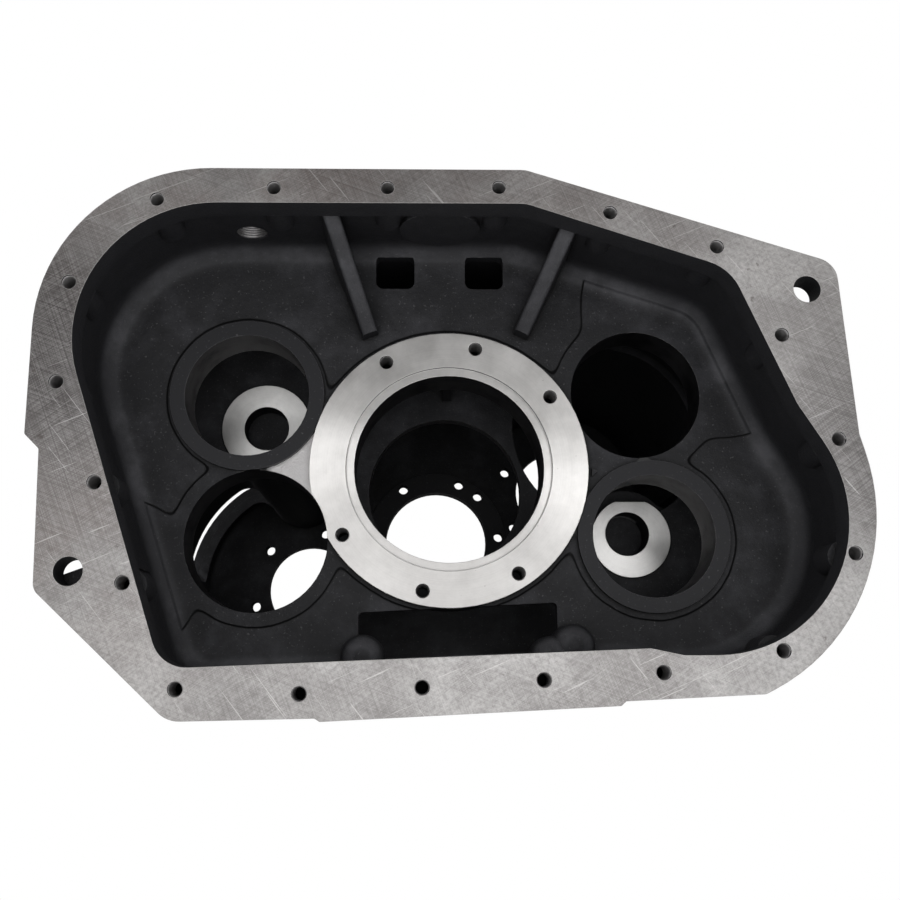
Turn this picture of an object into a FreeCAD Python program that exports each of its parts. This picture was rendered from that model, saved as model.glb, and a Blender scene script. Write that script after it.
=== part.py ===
import FreeCAD, Part
import math
import os

# Gearbox housing: a one-piece iron casting, open at the joint flange.
# Frame: millimetres, +Z along the main bore towards the joint flange, +X along the long
# side of the flange.  The origin is the centre of the main bore on the machined rear face,
# which is the face that the housing stands on.  Depths are measured down from the flange.

# ---- heights -------------------------------------------------------------------------
overall_height = 700.0      # rear face to joint face
flange_thickness = 27.0
boss_depth = 60.0           # end of the bolt bosses under the flange
mid_wall_depth = 120.0      # as-cast face of the mid wall
mid_wall_thickness = 12.0
bore_boss_back = 164.0      # rear end of the bearing bosses of the mid wall
second_wall_depth = 258.0
second_wall_thickness = 15.0
low_floor_rise = 10.0       # the lower right floor stands this much nearer the flange
rear_wall_thickness = 20.0
deep_wall_top = 176.0       # outer roof of the deep lobes, under the front chamber
hub_length = 14.0           # outer hubs of the two short bores
hub_wall = 12.0
foot_thickness = 24.0
foot_rim = 14.0             # machined foot round the rear wall

# ---- sections ------------------------------------------------------------------------
lip = 8.0                   # the flange overhangs the chamber wall inside by this much
wall = 11.0                 # side walls of the front chamber
deep_wall = 12.0            # side walls of the deep chamber
root_radius = 24.0          # mid wall to side wall
pad_height = 3.0            # raised pads round the bores
ring_height = 5.0           # ring bosses over the mid wall
main_ring_height = 8.0
groove_width = 3.2
groove_depth = 2.5
blend_radius = 18.0         # pads run into one another with this radius
pad_margin = 8.0            # pad round the ring bosses

# ---- outlines: corners as (x, y, corner radius) ----------------------------------------
flange_outline = [
    (-341, 234, 140), (62, 235, 22), (322, 153, 20), (330, 6, 8), (367.4, -137.7, 164),
    (240, -200, 6), (131, -204.5, 1), (127, -208, 1), (-104, -218, 1), (-108, -215.5, 1),
    (-219, -217, 24), (-326, -117, 12), (-329, -6, 3), (-341, 6, 3)]
flange_opening = [
    (-352, 203, 113), (62, 204.5, 28), (232, 148, 40), (281, 31, 25), (404, -170.5, 112),
    (178, -170, 10), (152, -164.5, 10), (-226, -177.5, 28)]

# ---- shaft centres -------------------------------------------------------------------
main_axis = (0.0, 0.0)
upper_left_axis = (-184.0, 68.0)
lower_left_axis = (-173.0, -65.0)
upper_right_axis = (173.0, 70.0)
lower_right_axis = (184.0, -62.0)
idler_hole_axis = (185.0, -44.0)

# ---- bores ---------------------------------------------------------------------------
main_bore = 86.0
main_counterbore = 93.5
main_counterbore_depth = 3.0
main_ring = 126.0
main_screw_circle = 113.5
main_screw_angles = [35.3, 77.5, 120.3, 212.5, 257.6, 302.4]
main_screw_radius = 6.3
upper_left_bore = 56.5
lower_right_bore = 55.5
ring_land = 13.5            # width of the ring face round those two bores
lower_left_bore = 64.0
upper_right_bore = 60.0
plain_boss = 11.0           # wall round the two plain bores
second_main_bore = 78.0
second_left_opening = 95.0
second_right_opening = 102.0
upper_left_hole = 23.0
upper_left_spot = 46.0
lower_right_hole = 22.5
lower_right_spot = 40.0
spot_height = 3.0
spot_shift = 4.0            # the seat sits off its hole towards the lower right
spot_flat = 35.0
spot_flat_angles = [68.0, 222.0]
low_floor_reach = 46.0      # inner edge of the low floor, from the lower right axis
rear_main_bore = 70.5
rear_main_ring = 97.5
rear_ring_height = 3.0
rear_side_bore = 59.0
rear_screw_circle = 88.0
rear_screw_angles = [4.6, 47.7, 68.2, 121.6, 175.0, 228.0, 248.0, 301.0]
rear_side_screw_circle = 80.0
rear_side_screw_count = 6
rear_left_first_angle = 137.0
rear_right_first_angle = 158.0
rear_screw_radius = 6.5

# ---- deep chamber ----------------------------------------------------------------------
deep_left_lobe = 142.0
deep_right_lobe = 110.0
deep_main_lobe = 150.0
deep_top_lobe = 125.0
deep_top_centre = (10.0, 58.0)
deep_floor_box = (-173.0, 140.0, -178.0, -20.0)     # x from, x to, y from, y to
deep_blend = 22.0
guard_radius = 102.0        # thicker band of the upper right lobe
guard_top = 310.0
guard_bottom = 450.0
guard_turn = -35.0

# ---- flange holes ------------------------------------------------------------------------
flange_hole_radius = 6.0    # joint-face screws
flange_hole_depth = 48.0
flange_hole_places = [
    (-246, 206), (-149.5, 217), (-54.5, 218), (39.5, 219), (133, 197), (222, 167),
    (272, 90), (313, 2), (319, -91), (256, -167), (161, -183), (68, -188), (-26, -193),
    (-120, -197), (-214, -193), (-258, -112), (-284, -33), (-319, 49), (-314, 133)]
bolt_boss = 13.0
lug_hole_radius = 11.5
lug_hole_places = [(296, 130), (-300, -103)]

# ---- windows, ports and ribs ---------------------------------------------------------------
window_width = 36.0
window_height = 32.0
window_y = 188.0
window_centres = [-49.5, 34.0]
window_corner = 7.0
low_window = (-81.0, 95.0, -176.0, -129.0, -121.0)  # x from, x to, bottom, top left, top right
low_window_corner = 4.0
oil_port_x = -179.0
oil_port_depth = 84.0
oil_port_radius = 14.0
port_boss = 23.0
port_boss_height = 9.0
round_pad_x = -9.0
round_pad_depth = 66.0
round_pad_radius = 36.0
round_pad_height = 3.0
gusset_thickness = 15.0
gussets = [((-107, 216), (-72, 124)), ((104, 200), (67, 125))]
gusset_top = 30.0
gusset_toe = 104.0
gusset_round = 4.0
dome_radius = 19.0
dome_top = 78.0
dome_places = [(-76, -168), (105, -160), (86, -170)]
side_window_angle = 135.0
side_window_width = 190.0
side_window_top = 545.0
side_window_bottom = 660.0
side_window_corner = 12.0
web_rib_x = 2.0
web_rib_thickness = 9.0
web_rib_y = 98.0
left_pad = [(-340, -30), (-235, -22), (-173, -65), (-212, -136), (-236, -200), (-340, -200),
            (-340, -30)]
right_pad = [(127, 260), (134, 160), (173, 70), (245, 42), (340, 36), (340, 260), (127, 260)]
outer_rib = 10.0
outer_rib_end = 150.0
# x, y, direction and reach of each rib, at the chamber wall
outer_rib_places = [
    (-100, 216, 90, 16), (-7, 216, 90, 16), (285, 100, 30, 50), (-262, -90, 200, 55),
    (-73, -188, 270, 20), (20, -184, 270, 20), (112, -180, 270, 20)]

EPS = 1.0                   # cutters run past the faces they open
BEYOND = 400.0              # farther from the main axis than any wall
NEAR = 0.01                 # points closer than this are at the same height
V = FreeCAD.Vector
UP = V(0, 0, 1)


def height(depth):
    """Z of a depth below the joint face."""
    return overall_height - depth


def outline(corners):
    """Closed face through the corners, each rounded by its tangent arc."""
    count = len(corners)
    starts, ends, mids = [], [], []
    for i in range(count):
        here = V(corners[i][0], corners[i][1], 0)
        back = V(corners[i - 1][0], corners[i - 1][1], 0) - here
        ahead = V(corners[(i + 1) % count][0], corners[(i + 1) % count][1], 0) - here
        back.normalize()
        ahead.normalize()
        half = back.getAngle(ahead) / 2
        radius = corners[i][2]
        run = radius / math.tan(half)
        centre = here + (back + ahead).normalize() * (radius / math.sin(half))
        starts.append(here + back * run)
        ends.append(here + ahead * run)
        mids.append(centre + (here - centre).normalize() * radius)
    edges = []
    for i in range(count):
        edges.append(Part.Arc(starts[i], mids[i], ends[i]).toShape())
        edges.append(Part.LineSegment(ends[i], starts[(i + 1) % count]).toShape())
    return Part.Face(Part.Wire(edges))


def grown(face, by):
    """The face with its outline moved outwards by a distance."""
    return face.makeOffset2D(by)


def prism(face, top, bottom):
    """Solid over a face in the XY plane, between two depths."""
    placed = face.copy()
    placed.translate(V(0, 0, height(bottom)))
    return placed.extrude(V(0, 0, bottom - top))


def disc(centre, radius):
    """Flat disc in the XY plane."""
    circle = Part.Circle(V(centre[0], centre[1], 0), UP, radius)
    return Part.Face(Part.Wire(circle.toShape()))


def rectangle(x0, x1, y0, y1):
    """Flat rectangle in the XY plane."""
    points = [V(x0, y0, 0), V(x1, y0, 0), V(x1, y1, 0), V(x0, y1, 0), V(x0, y0, 0)]
    return Part.Face(Part.makePolygon(points))


def post(centre, radius, top, bottom):
    """Round post between two depths."""
    return Part.makeCylinder(radius, bottom - top, V(centre[0], centre[1], height(bottom)))


def merged(faces):
    """One flat face from overlapping ones."""
    shape = faces[0].multiFuse(faces[1:]).removeSplitter()
    return shape.Faces[0]


def blended(face, radius):
    """The face with its inner corners filled by arcs."""
    return grown(grown(face, radius), -radius)


def on_circle(centre, radius, angle):
    """Point at an angle on a circle."""
    turn = math.radians(angle)
    return (centre[0] + radius * math.cos(turn), centre[1] + radius * math.sin(turn))


# ---- plan shapes ---------------------------------------------------------------------------
opening_face = outline(flange_opening)
chamber_face = grown(opening_face, lip)
chamber_outer = grown(opening_face, lip + wall)
x0, x1, y0, y1 = deep_floor_box
deep_face = merged([
    disc(lower_left_axis, deep_left_lobe).common(rectangle(-BEYOND, 0, y0, BEYOND)).Faces[0],
    disc(upper_right_axis, deep_right_lobe),
    disc(main_axis, deep_main_lobe),
    disc(deep_top_centre, deep_top_lobe),
    rectangle(x0, x1, y0, y1)])
for axis, radius in ((upper_left_axis, upper_left_hole), (idler_hole_axis, lower_right_hole)):
    deep_face = deep_face.cut(disc(axis, radius + hub_wall + deep_wall)).Faces[0]
deep_face = blended(deep_face, deep_blend)
deep_face = grown(grown(deep_face, -deep_blend), deep_blend)
deep_outer = grown(deep_face, deep_wall)


# ---- shell -----------------------------------------------------------------------------------
def shell():
    """Joint flange and side walls of both chambers, hollow."""
    second_back = second_wall_depth + second_wall_thickness
    solid = prism(outline(flange_outline), 0, flange_thickness).multiFuse([
        prism(chamber_outer, flange_thickness - EPS, second_back),
        prism(deep_outer, deep_wall_top, overall_height),
        prism(grown(deep_outer, foot_rim), overall_height - foot_thickness, overall_height)])
    chamber = prism(chamber_face, flange_thickness, mid_wall_depth)
    floor_z = height(mid_wall_depth)
    roots = [e for e in chamber.Edges if all(abs(v.Z - floor_z) < NEAR for v in e.Vertexes)]
    hollows = [
        prism(opening_face, -EPS, flange_thickness),
        chamber.makeFillet(root_radius, roots),
        prism(chamber_face, mid_wall_depth + mid_wall_thickness, second_wall_depth),
        prism(deep_face, deep_wall_top + deep_wall, overall_height - rear_wall_thickness)]
    for hollow in hollows:
        solid = solid.cut(hollow)
    return solid


def second_wall():
    """Wall that carries the inner bearings, open for the two long shafts."""
    bottom = second_wall_depth + second_wall_thickness
    corner = rectangle(lower_right_axis[0] - low_floor_reach, BEYOND, -BEYOND, main_axis[1])
    low_floor = chamber_outer.common(corner).Faces[0]
    plate = prism(chamber_outer, second_wall_depth, bottom).multiFuse([
        prism(low_floor, second_wall_depth - low_floor_rise, bottom),
        post(upper_left_axis, upper_left_spot, second_wall_depth - spot_height, bottom),
        low_floor_spot(bottom),
        post(upper_left_axis, upper_left_hole + hub_wall, bottom - EPS, bottom + hub_length),
        post(idler_hole_axis, lower_right_hole + hub_wall, bottom - EPS, bottom + hub_length)])
    top = second_wall_depth - low_floor_rise - spot_height - EPS
    end = bottom + hub_length + EPS
    return plate.cut(prism(deep_face, bottom, end)).cut(post(
        main_axis, second_main_bore, top, end).multiFuse([
            post(lower_left_axis, second_left_opening, top, end),
            post(upper_right_axis, second_right_opening, top, end)]))


def low_floor_spot(bottom):
    """Machined seat on the low floor: round, with two edges planed off."""
    centre = (idler_hole_axis[0] + spot_shift, idler_hole_axis[1] - spot_shift)
    seat = post(centre, lower_right_spot, second_wall_depth - low_floor_rise - spot_height, bottom)
    for angle in spot_flat_angles:
        block = Part.makeBox(lower_right_spot, 4 * lower_right_spot, 2 * bottom)
        block.translate(V(spot_flat, -2 * lower_right_spot, 0))
        block.rotate(V(0, 0, 0), UP, angle)
        block.translate(V(centre[0], centre[1], 0))
        seat = seat.cut(block)
    return seat


def wall_bosses():
    """Bearing bosses, pads and the main ring of the mid wall."""
    back = bore_boss_back
    face = mid_wall_depth
    ring_boss_left = upper_left_bore + ring_land
    ring_boss_right = lower_right_bore + ring_land
    pad = merged([
        disc(main_axis, main_ring + pad_margin / 2),
        disc(upper_left_axis, ring_boss_left + pad_margin),
        disc(lower_left_axis, lower_left_bore + plain_boss),
        disc(upper_right_axis, upper_right_bore + 2 * plain_boss),
        disc(lower_right_axis, ring_boss_right + pad_margin),
        Part.Face(Part.makePolygon([V(x, y, 0) for x, y in left_pad])),
        Part.Face(Part.makePolygon([V(x, y, 0) for x, y in right_pad]))])
    pad = blended(pad, blend_radius).common(chamber_face).Faces[0]
    pads = prism(pad, face - pad_height, face + EPS)
    for axis, radius in ((upper_left_axis, ring_boss_left), (lower_right_axis, ring_boss_right)):
        pads = pads.cut(post(axis, radius + groove_width, 0, face - pad_height + groove_depth))
    return pads.multiFuse([
        post(main_axis, main_ring, face - main_ring_height, back),
        post(upper_left_axis, ring_boss_left, face - ring_height, back),
        post(lower_right_axis, ring_boss_right, face - ring_height, back),
        post(lower_left_axis, lower_left_bore + plain_boss, face, back),
        post(upper_right_axis, upper_right_bore + plain_boss, face, back)])


def bolt_bosses():
    """Round bosses that carry the joint-face screws down the walls."""
    pieces = []
    for place in flange_hole_places:
        pieces.append(post(place, bolt_boss, flange_thickness - EPS, boss_depth))
    return pieces


def gusset(wall_end, toe):
    """Triangular rib from the side wall down to the mid wall."""
    run = V(toe[0] - wall_end[0], toe[1] - wall_end[1], 0)
    side = V(-run.y, run.x, 0).normalize() * gusset_thickness
    floor = height(mid_wall_depth + EPS)
    start = V(wall_end[0], wall_end[1], 0) - side * 0.5
    corners = [
        start + V(0, 0, floor), start + V(0, 0, height(gusset_top)),
        start + run + V(0, 0, height(gusset_toe)), start + run + V(0, 0, floor)]
    rib = Part.Face(Part.makePolygon(corners + corners[:1])).extrude(side)
    crest = [e for e in rib.Edges if e.CenterOfMass.z > height(gusset_toe) and abs(
        e.tangentAt(e.FirstParameter).dot(side)) < EPS]
    return rib.makeFillet(gusset_round, crest)


def domes():
    """Round-headed bosses in the lower corners of the front chamber."""
    pieces = []
    for place in dome_places:
        centre_depth = dome_top + dome_radius
        pieces.append(post(place, dome_radius, centre_depth, mid_wall_depth + EPS))
        pieces.append(Part.makeSphere(dome_radius, V(place[0], place[1], height(centre_depth))))
    return pieces


def roof_pads():
    """Boss of the oil port and the round pad, on the long upper wall."""
    inner_y = flange_opening[0][1] + lip
    pad = Part.makeCylinder(
        round_pad_radius, wall + round_pad_height + port_boss_height,
        V(round_pad_x, inner_y - round_pad_height, height(round_pad_depth)), V(0, 1, 0))
    boss = Part.makeCylinder(
        port_boss, wall + port_boss_height - EPS,
        V(oil_port_x, inner_y + EPS, height(oil_port_depth)), V(0, 1, 0))
    return [pad, boss]


def inner_webs():
    """Rib between the two walls, and the thick band of the upper right lobe."""
    depth_0 = mid_wall_depth + mid_wall_thickness - EPS
    depth_1 = second_wall_depth + EPS
    roof = flange_opening[0][1] + lip + EPS
    rib = Part.makeBox(web_rib_thickness, roof - web_rib_y, depth_1 - depth_0)
    rib.translate(V(web_rib_x - web_rib_thickness / 2, web_rib_y, height(depth_1)))
    reach = deep_right_lobe + EPS
    band = disc(upper_right_axis, reach).cut(disc(upper_right_axis, guard_radius))
    outer_side = rectangle(-reach, reach, 0, reach)
    outer_side.rotate(V(0, 0, 0), UP, guard_turn)
    outer_side.translate(V(upper_right_axis[0], upper_right_axis[1], 0))
    band = band.common(outer_side).Faces[0]
    return [rib, prism(band, guard_top, guard_bottom)]


def rear_ring():
    """Machined seat round the main bore, inside the rear wall."""
    floor = overall_height - rear_wall_thickness
    return post(main_axis, rear_main_ring, floor - rear_ring_height, floor + EPS)


def outer_ribs():
    """Stiffening ribs under the flange and behind the lugs."""
    ribs = []
    top = flange_thickness - EPS
    for x, y, angle, reach in outer_rib_places:
        corners = [V(0, 0, height(top)), V(reach, 0, height(top)), V(0, 0, height(outer_rib_end))]
        rib = Part.Face(Part.makePolygon(corners + corners[:1])).extrude(V(0, outer_rib, 0))
        rib.translate(V(0, -outer_rib / 2, 0))
        rib.rotate(V(0, 0, 0), UP, angle)
        rib.translate(V(x, y, 0))
        ribs.append(rib)
    return ribs


# ---- machining ---------------------------------------------------------------------------------
def bore_cutters():
    """Bores of the mid wall, the second wall and the rear wall."""
    top = 0
    back = bore_boss_back + EPS
    ring_face = mid_wall_depth - main_ring_height
    hub_end = second_wall_depth + second_wall_thickness + hub_length + EPS
    floor = overall_height - rear_wall_thickness - rear_ring_height - EPS
    end = overall_height + EPS
    mouth = mid_wall_depth - ring_height - groove_depth
    return [
        post(main_axis, main_bore, top, back),
        post(main_axis, main_counterbore, top, ring_face + main_counterbore_depth),
        post(upper_left_axis, upper_left_bore, mouth, back),
        post(lower_right_axis, lower_right_bore, mouth, back),
        post(lower_left_axis, lower_left_bore, ring_face - EPS, back),
        post(upper_right_axis, upper_right_bore, ring_face - EPS, back),
        post(upper_left_axis, upper_left_hole, second_wall_depth - spot_height - EPS, hub_end),
        post(idler_hole_axis, lower_right_hole,
             second_wall_depth - low_floor_rise - spot_height - EPS, hub_end),
        post(main_axis, rear_main_bore, floor, end),
        post(lower_left_axis, rear_side_bore, floor, end),
        post(upper_right_axis, rear_side_bore, floor, end)]


def screw_cutters():
    """Screw holes of the flange, the lugs, the main ring and the rear wall."""
    cutters = []
    for place in flange_hole_places:
        cutters.append(post(place, flange_hole_radius, -EPS, flange_hole_depth))
    for place in lug_hole_places:
        cutters.append(post(place, lug_hole_radius, -EPS, flange_thickness + EPS))
    ring_face = mid_wall_depth - main_ring_height
    for angle in main_screw_angles:
        place = on_circle(main_axis, main_screw_circle, angle)
        cutters.append(post(place, main_screw_radius, ring_face - EPS, bore_boss_back + EPS))
    floor = overall_height - rear_wall_thickness - rear_ring_height - EPS
    end = overall_height + EPS
    for angle in rear_screw_angles:
        place = on_circle(main_axis, rear_screw_circle, angle)
        cutters.append(post(place, rear_screw_radius, floor, end))
    pitch = 360.0 / rear_side_screw_count
    for axis, first in ((lower_left_axis, rear_left_first_angle),
                        (upper_right_axis, rear_right_first_angle)):
        for i in range(rear_side_screw_count):
            place = on_circle(axis, rear_side_screw_circle, first + i * pitch)
            cutters.append(post(place, rear_screw_radius, floor, end))
    return cutters


def window_cutters():
    """Cored windows of the mid wall and the window of the deep chamber."""
    bottom = mid_wall_depth + mid_wall_thickness + EPS
    half_w = window_width / 2
    half_h = window_height / 2
    cutters = []
    for x in window_centres:
        corners = [
            (x - half_w, window_y + half_h, window_corner),
            (x + half_w, window_y + half_h, window_corner),
            (x + half_w, window_y - half_h, window_corner),
            (x - half_w, window_y - half_h, window_corner)]
        cutters.append(prism(outline(corners), mid_wall_depth - pad_height - EPS, bottom))
    x0, x1, low, high_left, high_right = low_window
    corners = [(x, y, low_window_corner) for x, y in (
        (x0, high_left), (x1, high_right), (x1, low), (x0, low))]
    cutters.append(prism(outline(corners), mid_wall_depth - pad_height - EPS, bottom))
    tall = side_window_bottom - side_window_top
    window = Part.makeBox(deep_left_lobe, side_window_width, tall)
    half = side_window_width / 2
    window.translate(V(half, -half, height(side_window_bottom)))
    through = [e for e in window.Edges if abs(abs(e.tangentAt(0).x) - 1) < NEAR]
    window = window.makeFillet(side_window_corner, through)
    window.rotate(V(0, 0, 0), UP, side_window_angle)
    window.translate(V(lower_left_axis[0], lower_left_axis[1], 0))
    cutters.append(window)
    inner_y = flange_opening[0][1]
    cutters.append(Part.makeCylinder(
        oil_port_radius, lip + wall + port_boss_height + EPS,
        V(oil_port_x, inner_y + EPS, height(oil_port_depth)), V(0, 1, 0)))
    return cutters


def housing():
    """The whole casting, machined."""
    solid = shell()
    standing = [second_wall(), wall_bosses(), rear_ring()]
    standing += bolt_bosses() + domes() + roof_pads() + inner_webs() + outer_ribs()
    standing += [gusset(wall_end, toe) for wall_end, toe in gussets]
    solid = solid.multiFuse(standing)
    cutters = bore_cutters() + screw_cutters() + window_cutters()
    for cutter in cutters:
        solid = solid.cut(cutter)
    return solid.removeSplitter()


os.makedirs("parts", exist_ok=True)
body = housing()
print("housing", body.isValid(), len(body.Solids), len(body.Faces), round(body.Volume / 1e3))
print(body.BoundBox)
body.exportStep("parts/housing.step")
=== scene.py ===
import math

import bmesh
import bpy
import numpy as np
from bpy.props import FloatProperty, IntProperty, PointerProperty
from mathutils import Matrix, Vector


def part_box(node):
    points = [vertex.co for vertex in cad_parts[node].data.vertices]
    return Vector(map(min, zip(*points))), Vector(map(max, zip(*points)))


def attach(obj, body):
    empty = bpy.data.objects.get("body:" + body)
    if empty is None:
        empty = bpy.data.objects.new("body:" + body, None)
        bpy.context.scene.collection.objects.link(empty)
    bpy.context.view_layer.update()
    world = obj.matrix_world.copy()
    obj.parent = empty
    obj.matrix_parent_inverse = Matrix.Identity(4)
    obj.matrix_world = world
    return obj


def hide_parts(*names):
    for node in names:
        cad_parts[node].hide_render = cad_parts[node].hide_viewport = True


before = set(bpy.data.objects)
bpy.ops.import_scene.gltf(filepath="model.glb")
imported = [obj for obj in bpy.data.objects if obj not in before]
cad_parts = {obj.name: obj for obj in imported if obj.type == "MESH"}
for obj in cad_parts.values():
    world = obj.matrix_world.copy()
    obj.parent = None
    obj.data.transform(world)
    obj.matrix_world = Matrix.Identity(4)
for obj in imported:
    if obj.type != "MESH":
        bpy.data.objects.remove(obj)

bl_info = {
    "name": "Gearbox housing looks",
    "version": (1, 0, 0),
    "blender": (4, 5, 0),
    "location": "3D View > Sidebar > Housing",
    "description": "Dresses the packed gearbox housing: cast skin, machined faces and threads",
    "category": "Object",
}

# Metres in the row frame throughout: +Z along the main bore, the joint face on top.

# Axes of the bores: x, y
MAIN = (0.0, 0.0)
UPPER_LEFT = (-0.184, 0.068)
LOWER_LEFT = (-0.173, -0.065)
UPPER_RIGHT = (0.173, 0.070)
LOWER_RIGHT = (0.184, -0.062)
IDLER = (0.185, -0.044)
LOW_SPOT = (0.189, -0.048)

# Depths below the joint face, and the thickness of the blind ends
MAIN_RING_FACE = 0.112
BEARING_RING_FACE = 0.115
LEFT_SPOT_FACE = 0.255
RIGHT_SPOT_FACE = 0.245
SECOND_WALL_BACK = 0.272
HUB_END = 0.282
BLIND_END_THICKNESS = 0.004
PORT_AXIS = 0.084
GROOVE_TOP = 0.1165
GROOVE_FOOT = 0.1235
FRONT_BORES_TOP = 0.1
FRONT_BORES_FOOT = 0.165
SECOND_BORE_TOP = 0.24
SECOND_BORE_FOOT = 0.28

# Heights above the rear face
REAR_RING_FACE = 0.023
MID_WALL_FACE = 0.581
REAR_BORES_TOP = 0.03

# Radii, and the distance of the idler seat's flat from its axis
MAIN_RING = 0.127
RING_HOLE_CIRCLE = 0.1135
RING_HOLE = 0.0063
LOW_SPOT_RADIUS = 0.0402
LOW_SPOT_FLAT = 0.037
IDLER_HOLE = 0.0224
UPPER_LEFT_HOLE = 0.0229
LEFT_GROOVE = 0.070
RIGHT_GROOVE = 0.069
SECOND_BORE = 0.078

# Axis and radius of the bored walls
FRONT_BORES = (
    (MAIN, 0.086), (MAIN, 0.0935), (UPPER_LEFT, 0.0565), (LOWER_RIGHT, 0.0555),
    (LOWER_LEFT, 0.064), (UPPER_RIGHT, 0.060))
REAR_BORES = ((MAIN, 0.0705), (LOWER_LEFT, 0.060), (UPPER_RIGHT, 0.060))

# The oil port runs along Y at this x
PORT_X = -0.179

# Centre and radius of the circles whose smooth union is the outline of the mid wall's pads:
# one round each bore, two that join those pads to the side walls, two small ones between
PAD_CIRCLES = (
    (MAIN, 0.130), (LOWER_LEFT, 0.0765), (UPPER_LEFT, 0.073), (UPPER_RIGHT, 0.0755),
    (LOWER_RIGHT, 0.075), ((0.247, 0.151), 0.122), ((-0.294, -0.101), 0.073),
    ((-0.134, 0.005), 0.014), ((0.136, 0.004), 0.014))

# Stage: the place and size of each lamp, the floor, and the camera's place and axes
KEY_PLACE = (0.0, -0.44, 1.7)
KEY_SIZE = (1.4, 1.15)
WINDOW_PLACES = ((-0.45, 0.25, 1.65), (0.5, 0.15, 1.65))
WINDOW_SIZE = (0.3, 0.3)
SIDE_PLACE = (0.6, 0.62, 1.7)
SIDE_SIZE = (0.7, 0.7)
FLOOR_HALF = 12.0
FLOOR_DROP = 0.001
CAMERA_PLACE = (-0.0338, -0.185, 1.562)
CAMERA_RIGHT = (0.9994, -0.00697, 0.03381)
CAMERA_UP = (0.0, 0.97939, 0.20199)
CAMERA_AHEAD = (0.03452, 0.20187, -0.9788)
SENSOR = 36.0

# Materials of the casting, in the order of their slots
SKIN, FLANGE, MAIN_FACE, LEFT_SEAT, RIGHT_SEAT, PRIMED, BORED, GROOVE = range(8)


# ---- settings -----------------------------------------------------------------------------------
class ThreadSettings(bpy.types.PropertyGroup):
    """Sizes of the screw threads."""

    major: FloatProperty(name="Outer radius", default=0.006, unit="LENGTH",
                         description="Radius of the plain hole that the ridges stand in")
    depth: FloatProperty(name="Ridge height", default=0.00095, unit="LENGTH",
                         description="How far a ridge stands in from the hole's wall")
    pitch: FloatProperty(name="Pitch", default=0.00175, unit="LENGTH",
                         description="Distance from one ridge to the next")
    turns: IntProperty(name="Turns", default=15, min=2,
                       description="Ridges drawn down each hole")
    lead: FloatProperty(name="Lead", default=0.0012, unit="LENGTH",
                        description="Plain length at the mouth of each hole")
    port_radius: FloatProperty(name="Port radius", default=0.014, unit="LENGTH",
                               description="Radius of the plain oil port")
    port_depth: FloatProperty(name="Port ridge height", default=0.0013, unit="LENGTH",
                              description="How far the port's ridges stand in")
    port_pitch: FloatProperty(name="Port pitch", default=0.0023, unit="LENGTH",
                              description="Distance between the ridges of the port")
    port_start: FloatProperty(name="Port start", default=0.211, unit="LENGTH",
                              description="Distance of the port's first ridge from the main axis")
    port_turns: IntProperty(name="Port turns", default=8, min=2,
                            description="Ridges drawn along the port")
    segments: IntProperty(name="Segments", default=24, min=12,
                          description="Steps round one turn")


class FinishSettings(bpy.types.PropertyGroup):
    """How the casting is finished."""

    edge_radius: FloatProperty(name="Edge radius", default=0.0009, unit="LENGTH",
                               description="Radius to which shading rounds the edges")
    smooth_angle: FloatProperty(name="Smooth angle", default=math.radians(28), subtype="ANGLE",
                                description="Edges sharper than this stay sharp")


class StageSettings(bpy.types.PropertyGroup):
    """Camera and lights."""

    lens: FloatProperty(name="Lens", default=44.0,
                        description="Focal length on a 36 mm sensor, in millimetres")
    key_power: FloatProperty(name="Key power", default=7.6,
                             description="Power of the wide lamp above the camera, in watts")
    window_power: FloatProperty(
        name="Window power", default=1.15,
        description="Power of each of the two small bright lamps, in watts")
    side_power: FloatProperty(name="Side power", default=1.1,
                              description="Power of the lamp at the far right, in watts")
    fill: FloatProperty(name="Fill", default=0.08, min=0.0,
                        description="Strength of the light from the studio's ceiling")
    walls: FloatProperty(name="Walls", default=1.4, min=0.0,
                         description="Strength of the light from the studio's walls")


# ---- node graphs --------------------------------------------------------------------------------
def linear(colour):
    """Linear RGBA of an sRGB colour written as hex."""
    channels = [int(colour[i:i + 2], 16) / 255 for i in (1, 3, 5)]
    return tuple(c / 12.92 if c <= 0.04045 else ((c + 0.055) / 1.055) ** 2.4
                 for c in channels) + (1.0,)


class Graph:
    """Emptied node tree of a material or a world."""

    def __init__(self, block):
        block.use_nodes = True
        self.tree = block.node_tree
        self.tree.nodes.clear()

    def add(self, kind, *inputs, out=0, **settings):
        """Adds a node, sets it, feeds its inputs and gives one of its outputs.

        Inputs are values or other nodes' outputs, in the node's order or as one dictionary.
        """
        node = self.tree.nodes.new("ShaderNode" + kind)
        for key, value in settings.items():
            setattr(node, key, value)
        by_name = inputs and isinstance(inputs[0], dict)
        fed = inputs[0] if by_name else dict(enumerate(inputs))
        for key, value in fed.items():
            if isinstance(value, bpy.types.NodeSocket):
                self.tree.links.new(value, node.inputs[key])
            else:
                node.inputs[key].default_value = value
        return node.outputs[out] if node.outputs else None


class Surface(Graph):
    """Graph of one new material, with the place of a point in the object's own metres."""

    def __init__(self, name):
        self.material = bpy.data.materials.new(name)
        super().__init__(self.material)
        self.place = self.add("TexCoord", out="Object")


# ---- patterns shared by the materials -----------------------------------------------------------
# A TexNoise takes a place, w, 1 / size in metres, detail and roughness. A MapRange takes a value,
# the two ends it comes from and the two it goes to. A Mix takes its factor at 0, colours at 6 and 7.


def stretched(g, turn, across, along):
    """Place turned about Z and squeezed, so that noise makes streaks of these sizes."""
    turned = g.add("VectorRotate", {"Vector": g.place, "Angle": turn}, rotation_type="Z_AXIS")
    return g.add("VectorMath", turned, (1 / along, 1 / across, 1 / across),
                 operation="MULTIPLY")


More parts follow.
